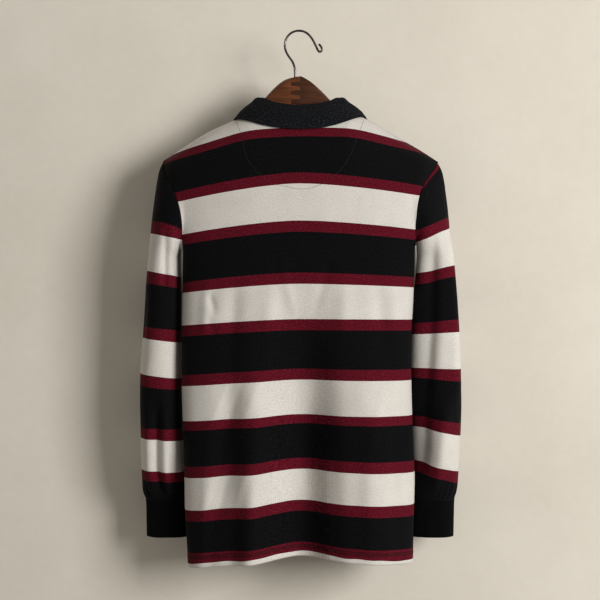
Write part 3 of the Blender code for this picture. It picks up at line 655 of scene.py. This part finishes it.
def wood_group():
    """Streaks, pores and a knot of a planed board, lighter or darker beside the finger joint."""
    tree, given, out = group(
        "wood",
        {"Place": PLACE, "Turn": PLACE, "Dark": COLOUR, "Light": COLOUR, "Knot": PLACE, "Joint": NUMBER},
        {"Color": COLOUR, "Grain": NUMBER, "Pores": NUMBER},
    )
    value = given.outputs
    stretched = []
    for stretch in (STREAK_STRETCH, PORE_STRETCH):
        made = node(tree, "ShaderNodeMapping")
        give(tree, made, {"Vector": value["Place"], "Rotation": value["Turn"], "Scale": stretch})
        stretched.append(made.outputs[0])
    grain = noise(tree, stretched[0], 1.0, 5.0, 0.6, 1.4)
    pores = noise(tree, stretched[1], 1.0, 3.0, 0.7)
    tone = sum_of(tree, (grain, 0.7), (noise(tree, value["Place"], 22.0, 2.0), 0.3))
    tone = ramp(tree, tone, ((0.3, (0, 0, 0)), (0.52, (0.5, 0.5, 0.5)), (0.72, (1, 1, 1))))
    colour = mix(tree, tone, value["Dark"], value["Light"])
    pored = ramp(tree, pores, ((0.28, (0, 0, 0)), (0.42, (1, 1, 1))))
    colour = mix(tree, 0.5, colour, pored, "MULTIPLY")
    apart = node(tree, "ShaderNodeVectorMath", operation="DISTANCE")
    tree.links.new(value["Place"], apart.inputs[0])
    tree.links.new(value["Knot"], apart.inputs[1])
    away = sum_of(tree, (apart.outputs["Value"], 1), (grain, 0.004))
    rings = maths(tree, "SINE", maths(tree, "MULTIPLY", away, 3200.0))
    near = maths(tree, "SUBTRACT", 1.0, maths(tree, "MULTIPLY", away, 90.0), clamp=True)
    colour = shade_by(tree, colour, maths(tree, "MULTIPLY", rings, near), 1.0, 0.35)
    parts = node(tree, "ShaderNodeSeparateXYZ")
    tree.links.new(value["Place"], parts.inputs[0])
    beside = maths(tree, "ABSOLUTE", maths(tree, "SUBTRACT", parts.outputs[0], JOINT_X))
    beside = maths(tree, "SUBTRACT", 1.0, maths(tree, "MULTIPLY", beside, 45.0), clamp=True)
    amount = maths(tree, "ADD", maths(tree, "MULTIPLY", beside, value["Joint"]), 1.0)
    give(tree, out, {"Color": scaled(tree, colour, amount), "Grain": grain, "Pores": pores})
    return tree


def twist_group():
    """Light and dark of a twisted thread."""
    tree, given, out = group("twist", {"Place": PLACE, "Color": COLOUR}, {"Color": COLOUR, "Twist": NUMBER})
    twist = noise(tree, given.outputs["Place"], 2200.0, 2.0)
    give(tree, out, {"Color": shade_by(tree, given.outputs["Color"], twist, 0.6, 1.4), "Twist": twist})
    return tree


KNIT = knit_group()
NAP = nap_group()
WOOD = wood_group()
TWIST = twist_group()


# Finishes


def knitted_in(tree, wale, course, lean, rib=0.0):
    """The knit along a piece's own heights and its run across."""
    values = {"Across": attribute(tree, "across"), "Up": attribute(tree, "height"), "Wale": wale}
    return placed(tree, KNIT, {**values, "Course": course, "Lean": lean, "Rib": rib})


def jersey_material():
    """Striped knit of the body and sleeves, which changes colour by the cloth's height."""
    made, tree, shader = material("striped_jersey")
    height = attribute(tree, "height")
    knitted = knitted_in(tree, wale=1.05, course=0.85, lean=0.9)
    wobble = maths(tree, "MULTIPLY", maths(tree, "SUBTRACT", knitted["Yarn"], 0.5), 0.9)
    low, high = -890.0, -120.0
    place = maths(tree, "SUBTRACT", maths(tree, "ADD", height, wobble), low)
    place = maths(tree, "DIVIDE", place, high - low)
    stops = [(0.0, CLOTH_COLOURS[CREAM])]
    stops += [((z - low) / (high - low), CLOTH_COLOURS[colour]) for z, colour in STRIPES]
    colour = ramp(tree, place, stops, "CONSTANT")
    colour = shade_by(tree, colour, knitted["Yarn"], 0.8, 1.2)
    # Painted shade: the colour darkens where the stitch relief is low, in the gaps between loops and columns
    colour = shade_by(tree, colour, knitted["Height"], 0.8, 1.12)
    # Painted shade: along the hem's two stitch rows the colour darkens to 0.3 in a band 2 mm wide, the shade of
    # their grooves; the bump below sinks the same bands
    row = maths(tree, "ADD", *(maths(tree, "COMPARE", height, level, 1.0) for level in HEM_ROWS))
    colour = placed(tree, NAP, {"Color": colour, "Nap": knitted["Nap"], "Strength": 2.0})["Color"]
    colour = shade_by(tree, colour, row, 1.0, 0.3)
    colour = mix(tree, maths(tree, "MULTIPLY", knitted["Fuzz"], 0.003), colour, (0.4, 0.38, 0.36))
    give(tree, shader, {
        "Base Color": colour,
        "Roughness": 0.92,
        "Specular IOR Level": 0.08,
        "Sheen Weight": 0.02,
        "Sheen Roughness": 0.4,
    })
    relief = sum_of(tree, (knitted["Height"], 1), (knitted["Fuzz"], 0.5), (knitted["Nap"], 1.5))
    relief = maths(tree, "SUBTRACT", relief, maths(tree, "MULTIPLY", row, 2.0))
    bump(tree, shader, relief, 0.00022, 0.8)
    return made


def rib_material(name, colour, wale, course, rib, depth, sheen, nap):
    """Plain knit of one colour, ribbed where rib is above 0."""
    made, tree, shader = material(name)
    knitted = knitted_in(tree, wale, course, 0.8, rib)
    shaded = shade_by(tree, colour, knitted["Yarn"], 0.55, 1.5)
    # Painted shade: the colour darkens where the stitch and rib relief is low, in the rib grooves and between
    # loops
    shaded = shade_by(tree, shaded, knitted["Height"], 0.6, 1.3)
    shaded = placed(tree, NAP, {"Color": shaded, "Nap": knitted["Nap"], "Strength": nap})["Color"]
    give(tree, shader, {
        "Base Color": shaded,
        "Roughness": 0.9,
        "Specular IOR Level": 0.05,
        "Sheen Weight": sheen,
        "Sheen Roughness": 0.45,
    })
    relief = sum_of(tree, (knitted["Height"], 1), (knitted["Fuzz"], 0.4), (knitted["Nap"], 2.0))
    bump(tree, shader, relief, depth, 0.9)
    return made


def wood_material(name, dark, light, turn, knot, joint):
    """Varnished wood of one half of the hanger. The turn follows its arm, in radians."""
    made, tree, shader = material(name)
    wood = placed(tree, WOOD, {
        "Place": own_place(tree),
        "Turn": (0, turn, 0),
        "Dark": dark,
        "Light": light,
        "Knot": tuple(value * MM for value in knot),
        "Joint": joint,
    })
    give(tree, shader, {
        "Base Color": wood["Color"],
        "Roughness": maths(tree, "ADD", maths(tree, "MULTIPLY", wood["Grain"], 0.2), 0.34),
        "Specular IOR Level": 0.22,
        "Coat Weight": 0.06,
        "Coat Roughness": 0.2,
    })
    bump(tree, shader, maths(tree, "ADD", wood["Pores"], wood["Grain"]), 0.0002, 0.35)
    return made


def cloudy_material(name, cloud, dark, light, metallic, gloss, depth, strength):
    """Smooth hard finish, a little cloudy: noise settings, two colours, metal or not, roughness."""
    made, tree, shader = material(name)
    cloudy = noise(tree, own_place(tree), *cloud)
    give(tree, shader, {
        "Base Color": ramp(tree, cloudy, ((0.3, dark), (0.7, light))),
        "Metallic": metallic,
        "Roughness": maths(tree, "ADD", maths(tree, "MULTIPLY", cloudy, 0.15), gloss),
    })
    bump(tree, shader, cloudy, depth, strength)
    return made


def thread_material(name, colour):
    made, tree, shader = material(name)
    thread = placed(tree, TWIST, {"Place": own_place(tree), "Color": colour})
    give(tree, shader, {"Base Color": thread["Color"], "Roughness": 0.7})
    bump(tree, shader, thread["Twist"], 0.0001, 0.5)
    return made


# The shirt

jersey = jersey_material()
cuff_knit = rib_material(
    "cuff_knit", (0.0014, 0.0015, 0.0017), wale=1.5, course=0.8, rib=0.9, depth=0.0004, sheen=0.006, nap=1.6
)
collar_knit = rib_material(
    "collar_knit", (0.0046, 0.0053, 0.0066), wale=1.25, course=0.85, rib=0.5, depth=0.0004, sheen=0.006, nap=3.3
)
band_cloth = rib_material(
    "placket_cloth", (0.0036, 0.0041, 0.0051), wale=0.85, course=0.7, rib=0.0, depth=0.0002, sheen=0.02, nap=2.0
)


def around(x, y, half_y):
    """Run of cloth from the plateau of a body face, over its rounded side."""
    return x + np.sign(x) * np.maximum(0, half_y - np.abs(y - SIDE_Y)) * SIDE_SHARE


def make_panel(name, side):
    """Back (1) or front (-1) of the body."""
    data = finer_copy(name, PANEL_EDGE)
    points = points_of(data)
    x, y, z = points.T
    height = cloth_height(x, z)
    waver = EDGE_SIDES * (np.abs(x) / SAG_WIDTH) ** 1.5
    waver += EDGE_RIPPLE * np.sin(x * 0.11) * np.sin(x * 0.037 + 1)
    set_values(data, "height", height + below(height, EDGE_START, EDGE_RUN) * waver)
    set_values(data, "across", around(x, y, BODY_HALF_DEPTH))
    fade = below(np.abs(x), *SIDE_FADE)
    fade = fade * np.where(z > ARMHOLE_FOOT, below(np.abs(x), *ARMHOLE_FADE), 1)
    fade = fade * below(height, SHOULDER_FADE[side], SHOULDER_RUN)
    rise = body_rise(side, x, height) + BODY_WAVE * soft_waves(x, height, BODY_SEED + side)
    points[:, 1] += side * rise * fade
    set_points(data, points)
    return piece(name + "_cloth", data, jersey, name, slot="striped_jersey")


def push_out(data, points, hand, rise, out_x, out_y):
    """Move a tube's points away from its middle line."""
    size = np.maximum(np.hypot(out_x, out_y), 1e-6)
    points[:, 0] += hand * rise * out_x / size
    points[:, 1] += rise * out_y / size
    set_points(data, points)


def make_sleeve(word, hand):
    """Sleeve of the left (1) or right (-1) arm."""
    data = finer_copy("sleeve_" + word, PANEL_EDGE)
    points = points_of(data)
    x, y, z = points.T
    across = np.abs(x)
    middle = np.interp(z, *SLEEVE_MIDDLE)
    middle_y = np.interp(z, *SLEEVE_DEPTH)
    wide = np.interp(z, *SLEEVE_HALF)
    turn = np.degrees(np.arctan2(y - middle_y, (middle - across) / wide * SLEEVE_HALF_DEPTH))
    set_values(data, "height", sleeve_height(hand, x, z))
    set_values(data, "across", np.abs(turn) / 180 * KNIT_HALF_GIRTH)
    rise = np.zeros_like(x)
    for which, t0, z0, t1, z1, half, high in SLEEVE_CREASES:
        if which != hand:
            continue
        share = np.clip((z0 - z) / (z0 - z1), 0, 1)
        centre = t0 + (t1 - t0) * share
        away = np.abs(turn - centre)
        away = np.minimum(away, 360 - away) / 180 * CREASE_HALF_GIRTH
        window = smooth(share / SLEEVE_CREASE_EASE[0]) * smooth((1 - share) / SLEEVE_CREASE_EASE[1])
        rise += high * window * np.exp(-(away / half) ** 2)
    count, deep, reach = GATHERS
    up = z - SLEEVE_END
    gathered = smooth(up / GATHER_EASE) * below(up, reach, reach)
    angle = np.radians(turn)
    rng = np.random.default_rng(GATHER_SEED + hand)
    ripple = np.cos(angle * count + 1.7 * np.sin(angle * 3 + rng.uniform(0, 6)))
    rise += deep * gathered * ripple * (0.7 + 0.5 * np.sin(angle * 2 + rng.uniform(0, 6)))
    waves = SLEEVE_WAVE * soft_waves(turn / 180 * CREASE_HALF_GIRTH, z, SLEEVE_SEED + hand)
    rise += waves * below(z, *SLEEVE_WAVE_FADE) * above(z, *SLEEVE_WAVE_FOOT)
    rise *= below(z, *SLEEVE_FADE)
    push_out(data, points, hand, rise, across - middle, (y - middle_y) * 0.8)
    return piece("sleeve_" + word + "_cloth", data, jersey, "sleeve_" + word, slot="striped_jersey")


def make_cuff(word, hand):
    """Cuff of the left (1) or right (-1) arm."""
    data = finer_copy("cuff_" + word)
    points = points_of(data)
    x, y, z = points.T
    turn = np.arctan2(y - CUFF_DEPTH, (CUFF_MIDDLE - np.abs(x)) * CUFF_NARROW)
    set_values(data, "height", z)
    set_values(data, "across", np.abs(turn) / math.pi * CUFF_HALF_GIRTH)
    wave = 0.5 * np.cos(3 * turn + hand) + 0.35 * np.cos(7 * turn + 2 * z / 61)
    fold = CUFF_FOLD * np.exp(-((np.degrees(turn) - CUFF_FOLD_AT[hand]) / 14) ** 2)
    rise = wave * below(z, *CUFF_WAVE_FADE) + fold * below(z, *CUFF_FOLD_FADE)
    push_out(data, points, hand, rise, np.abs(x) - CUFF_MIDDLE, y - CUFF_DEPTH)
    return piece("cuff_" + word + "_knit", data, cuff_knit, "cuff_" + word, slot="rib_knit")


def make_collar():
    data = finer_copy("collar", rim_angle=80)
    points = points_of(data)
    x, y, z = points.T
    turn = np.arctan2(x - NECK_MIDDLE[0], y - NECK_MIDDLE[1])
    reach = np.hypot(x, y - NECK_MIDDLE[1])
    set_values(data, "across", turn * NECK_ROUND)
    set_values(data, "height", reach - z)
    for middle, half, high in COLLAR_ROLL:
        roll = high * np.exp(-((np.abs(x) - middle) / half) ** 2)
        points[:, 2] += roll * above(z, *COLLAR_ROLL_FADE)
    drop = COLLAR_DROP * np.exp(-((x / COLLAR_DROP_HALF) ** 2))
    points[:, 2] -= drop * below(z, *COLLAR_DROP_FADE) * above(y, *COLLAR_BACK_FADE)
    set_points(data, points)
    return piece("collar_knit", data, collar_knit, "collar", slot="collar_knit")


def make_band(name):
    data = finer_copy(name)
    points = points_of(data)
    set_values(data, "across", points[:, 0])
    set_values(data, "height", points[:, 2])
    return piece(name + "_cloth", data, band_cloth, name, slot="placket_band")


back_cloth = make_panel("back_panel", 1)
front_cloth = make_panel("front_panel", -1)
sleeves = {word: make_sleeve(word, hand) for word, hand in (("left", 1), ("right", -1))}
cuffs = {word: make_cuff(word, hand) for word, hand in (("left", 1), ("right", -1))}
collar = make_collar()
band_upper = make_band("placket_upper")
band_under = make_band("placket_under")

# Wood and wire

light_wood = wood_material(
    "light_wood",
    dark=(0.035, 0.0095, 0.0025),
    light=(0.15, 0.046, 0.0122),
    turn=0.45,
    knot=(60.0, 30.0, -128.0),
    joint=0.45,
)
dark_wood = wood_material(
    "dark_wood",
    dark=(0.024, 0.007, 0.002),
    light=(0.09, 0.0265, 0.008),
    turn=-0.45,
    knot=(-31.5, 12.0, -110.0),
    joint=-0.4,
)
steel = cloudy_material(
    "hook_wire",
    cloud=(160.0, 3.0),
    dark=(0.07, 0.068, 0.066),
    light=(0.17, 0.165, 0.16),
    metallic=1.0,
    gloss=0.1,
    depth=0.0001,
    strength=0.2,
)

for name, look, slot in (("hanger_left", light_wood, "light_wood"), ("hanger_right", dark_wood, "dark_wood")):
    data = finer_copy(name)
    set_points(data, points_of(data) + normals_of(data) * WOOD_GROW)
    data.set_sharp_from_angle(angle=math.radians(40))
    piece(name + "_finished", data, look, name, slot=slot)

data = finer_copy("hook")
points = points_of(data)
set_points(data, points + normals_of(data) * WIRE_GROW * smooth((points[:, 2:] + 74) / 6))
piece("hook_finished", data, steel, "hook", slot="wire")

# Sewing and buttons

dark_thread = thread_material("dark_thread", (0.006, 0.006, 0.007))
burgundy_thread = thread_material("burgundy_thread", (0.032, 0.002, 0.005))


def tree_of(made):
    """A piece's surface, ready to be hit by lines."""
    mesh = bmesh.new()
    mesh.from_mesh(made.data)
    tree = BVHTree.FromBMesh(mesh)
    mesh.free()
    return tree


def even_steps(path, pitch):
    """Points an even run apart along a path, with the direction at each."""
    path = np.array(path, float)
    run = np.concatenate(((0.0,), np.cumsum(np.linalg.norm(np.diff(path, axis=0), axis=1))))
    wanted = np.arange(pitch / 2, run[-1], pitch)
    at = []
    for place in (wanted, wanted - pitch * 0.3, wanted + pitch * 0.3):
        at.append(np.stack([np.interp(place, run, column) for column in path.T], axis=1))
    return at[0], at[2] - at[1]


def seen_from(tree, places, side):
    """Places (x, z) dropped on a piece from the front (-1) or the back (1): point and facing."""
    found = []
    for x, z in places:
        hit = tree.ray_cast(Vector((x * MM, side * DROP_FROM, z * MM)), Vector((0, -side, 0)))
        if hit[0] is not None:
            found.append((*(hit[0] / MM), *hit[1]))
    return np.array(found)


def level_line(made, level):
    """Where a thread of that cloth height runs on a panel's outer face, from right to left."""
    data = made.data
    points = points_of(data)
    normals = normals_of(data)
    height = np.zeros(len(points), np.float32)
    data.attributes["height"].data.foreach_get("value", height)
    edges = np.zeros(len(data.edges) * 2, np.int32)
    data.edges.foreach_get("vertices", edges)
    a, b = edges.reshape(-1, 2).T
    out = points.copy()
    out[:, 1] -= SIDE_Y
    out[:, 2] = 0
    outer = np.einsum("ij,ij->i", normals, out) > 0
    crossing = ((height[a] - level) * (height[b] - level) < 0) & outer[a] & outer[b]
    a, b = a[crossing], b[crossing]
    share = ((level - height[a]) / (height[b] - height[a]))[:, None]
    place = points[a] + (points[b] - points[a]) * share
    facing = normals[a] + (normals[b] - normals[a]) * share
    line = np.concatenate((place, facing), axis=1)
    return line[np.argsort(line[:, 0])]


def stitches(name, lines, pitch, share, radius, look, slot):
    """Rows of single stitches, each a small rounded run of thread half sunk in the cloth."""
    mesh = bmesh.new()
    for line in lines:
        for place, step in zip(*even_steps(line, pitch)):
            forward = Vector(step[:3]).normalized()
            up = Vector(place[3:6]).normalized()
            side = up.cross(forward).normalized()
            up = forward.cross(side)
            turn = Matrix((side, up, forward)).transposed().to_4x4()
            spot = Matrix.Translation((Vector(place[:3]) + up * radius * 0.35) * MM)
            size = Matrix.Diagonal((radius * MM, radius * 0.8 * MM, pitch * share / 2 * MM, 1))
            bmesh.ops.create_uvsphere(mesh, u_segments=6, v_segments=5, radius=1.0, matrix=spot @ turn @ size)
    for face in mesh.faces:
        face.smooth = True
    return piece(name, mesh_data(name, mesh), look, slot=slot)


def smooth_line(points, fine=8):
    """Curve through the points."""
    points = np.array(points, float)
    last = len(points) - 1
    found = []
    for k in range(last):
        a, b, c, d = points[[max(k - 1, 0), k, k + 1, min(k + 2, last)]]
        for step in range(fine):
            t = step / fine
            curve = (2 * a - 5 * b + 4 * c - d) * t * t + (3 * b - a - 3 * c + d) * t ** 3
            found.append(0.5 * (2 * b + (c - a) * t + curve))
    found.append(points[-1])
    return np.array(found)


half_moon_line = seen_from(tree_of(back_cloth), smooth_line(HALF_MOON), 1)
half_moon = stitches(
    "half_moon_stitches",
    [half_moon_line],
    pitch=2.7,
    share=0.86,
    radius=0.34,
    look=dark_thread,
    slot="striped_jersey",
)
hem_lines = [level_line(made, level) for made in (back_cloth, front_cloth) for level in HEM_ROWS]
hem_stitches = stitches(
    "hem_stitches",
    hem_lines,
    pitch=3.0,
    share=0.84,
    radius=0.28,
    look=burgundy_thread,
    slot="striped_jersey",
)

band_tree = tree_of(band_upper)
foot = float(points_of(band_upper.data)[:, 2].min()) + FOOT_INSET
down_one_side = ((-PLACKET_HALF, PLACKET_TOP), (-PLACKET_HALF, foot))
up_the_other = ((PLACKET_HALF, foot), (PLACKET_HALF, PLACKET_TOP))
outline = down_one_side + up_the_other
cross_row = ((-PLACKET_HALF, foot + CROSS_UP), (PLACKET_HALF, foot + CROSS_UP))
band_lines = [seen_from(band_tree, even_steps(path, 2.0)[0], -1) for path in (outline, cross_row)]
band_stitches = stitches(
    "placket_stitches",
    band_lines,
    pitch=2.6,
    share=0.84,
    radius=0.26,
    look=dark_thread,
    slot="placket_band",
)

resin = cloudy_material(
    "button_resin",
    cloud=(260.0, 3.0, 0.5, 2.0),
    dark=(0.012, 0.013, 0.016),
    light=(0.04, 0.042, 0.048),
    metallic=0.0,
    gloss=0.2,
    depth=0.00005,
    strength=0.3,
)


def make_button(name):
    """Button with four holes. Gives back the lines of its thread and of the slit beneath it."""
    data = finer_copy(name, corner_angle=200, rim_angle=200)
    points = points_of(data)
    middle = points.mean(axis=0)
    axes = np.linalg.svd(points - middle, full_matrices=False)[2]
    facing = axes[2] * (-1 if axes[2][1] > 0 else 1)
    across = np.cross(facing, (0, 0, 1.0))
    across /= np.linalg.norm(across)
    down = np.cross(facing, across)
    made = piece(name + "_finished", data, resin, name, slot="button")
    turn = Matrix((Vector(across), Vector(down), Vector(facing))).transposed().to_4x4()
    drills = bmesh.new()
    for u, v in ((1, 1), (1, -1), (-1, 1), (-1, -1)):
        spot = Matrix.Translation(Vector(middle + across * u * HOLE_AT + down * v * HOLE_AT) * MM)
        bmesh.ops.create_cone(
            drills,
            cap_ends=True,
            segments=16,
            radius1=HOLE_RADIUS * MM,
            radius2=HOLE_RADIUS * MM,
            depth=HOLE_DEEP * MM,
            matrix=spot @ turn,
        )
    cutter = in_scene("button_holes", mesh_data("button_holes", drills))
    cut = made.modifiers.new("holes", "BOOLEAN")
    cut.object = cutter
    cut.solver = "EXACT"
    holed = finished_mesh(made)
    made.modifiers.clear()
    made.data = holed
    bpy.data.objects.remove(cutter)
    top = float(np.max((points - middle) @ facing)) - THREAD_SUNK
    threads = []
    slits = []
    for u in (-1, 1):
        start = middle + across * u * HOLE_AT + facing * top
        reach = down * HOLE_AT * 1.25
        threads.append(np.array([(*end, *facing) for end in (start - reach, start + reach)]))
        x = middle[0] + u * SLIT_HALF
        run, _ = even_steps(((x, middle[2] - SLIT_LONG), (x, middle[2] + SLIT_LONG)), 1.0)
        slits.append(seen_from(band_tree, run, -1))
    return threads, slits


thread_lines = []
slit_lines = []
for name in ("button_top", "button_middle", "button_low"):
    threads, slits = make_button(name)
    thread_lines += threads
    slit_lines += slits
button_thread = stitches(
    "button_thread",
    thread_lines,
    pitch=2 * HOLE_AT * 1.2,
    share=1.1,
    radius=0.42,
    look=dark_thread,
    slot="button",
)
slit_stitches = stitches(
    "buttonhole_stitches",
    slit_lines,
    pitch=0.75,
    share=0.9,
    radius=0.42,
    look=dark_thread,
    slot="placket_band",
)

# Wall, light and camera


def wall_material():
    """Plain paint, clear from behind and to the light that comes from there."""
    made, tree, shader = material("wall_paint")
    place = own_place(tree)
    fine = noise(tree, place, 60.0, 4.0, 0.6)
    tone = sum_of(tree, (noise(tree, place, 3.0, 4.0, 0.6), 0.75), (fine, 0.25))
    give(tree, shader, {
        "Base Color": ramp(tree, tone, ((0.3, (0.615, 0.58, 0.51)), (0.7, (0.695, 0.66, 0.59)))),
        "Roughness": 0.85,
        "Specular IOR Level": 0.15,
    })
    bump(tree, shader, fine, 0.0008, 0.3)
    clear = node(tree, "ShaderNodeBsdfTransparent")
    facing = node(tree, "ShaderNodeNewGeometry")
    ray = node(tree, "ShaderNodeLightPath")
    choose = node(tree, "ShaderNodeMixShader")
    unseen = maths(tree, "MAXIMUM", facing.outputs["Backfacing"], ray.outputs["Is Shadow Ray"])
    for socket, value in zip(choose.inputs, (unseen, shader.outputs[0], clear.outputs[0])):
        tree.links.new(value, socket)
    tree.links.new(choose.outputs[0], tree.nodes["Material Output"].inputs["Surface"])
    return made


mesh = bmesh.new()
bmesh.ops.create_grid(mesh, x_segments=1, y_segments=1, size=WALL_SIZE)
bmesh.ops.rotate(mesh, verts=mesh.verts, matrix=Matrix.Rotation(-math.pi / 2, 3, "X"))
bmesh.ops.translate(mesh, verts=mesh.verts, vec=(0, WALL_Y * MM, 0))
wall = in_scene("wall", mesh_data("wall", mesh))
wall.data.materials.append(wall_material())

for name, place, aim, side, power, colour in LAMPS:
    data = bpy.data.lights.new(name, "AREA")
    data.shape = "RECTANGLE"
    data.size = side
    data.size_y = side
    data.energy = power
    data.color = colour
    lamp = in_scene(name, data)
    lamp.location = place
    lamp.rotation_mode = "QUATERNION"
    lamp.rotation_quaternion = (Vector(aim) - Vector(place)).to_track_quat("-Z", "Y")

scene = bpy.context.scene
world = bpy.data.worlds.new("studio") if scene.world is None else scene.world
scene.world = world
world.use_nodes = True
world.node_tree.nodes["Background"].inputs[0].default_value = ROOM_COLOUR
world.node_tree.nodes["Background"].inputs[1].default_value = ROOM_LIGHT
scene.view_settings.view_transform = "Standard"

camera = in_scene("camera", bpy.data.cameras.new("camera"))
camera.data.lens = LENS
camera.data.sensor_width = SENSOR
camera.location = CAMERA_PLACE
camera.rotation_euler = (math.pi / 2, 0, math.pi)
scene.camera = camera
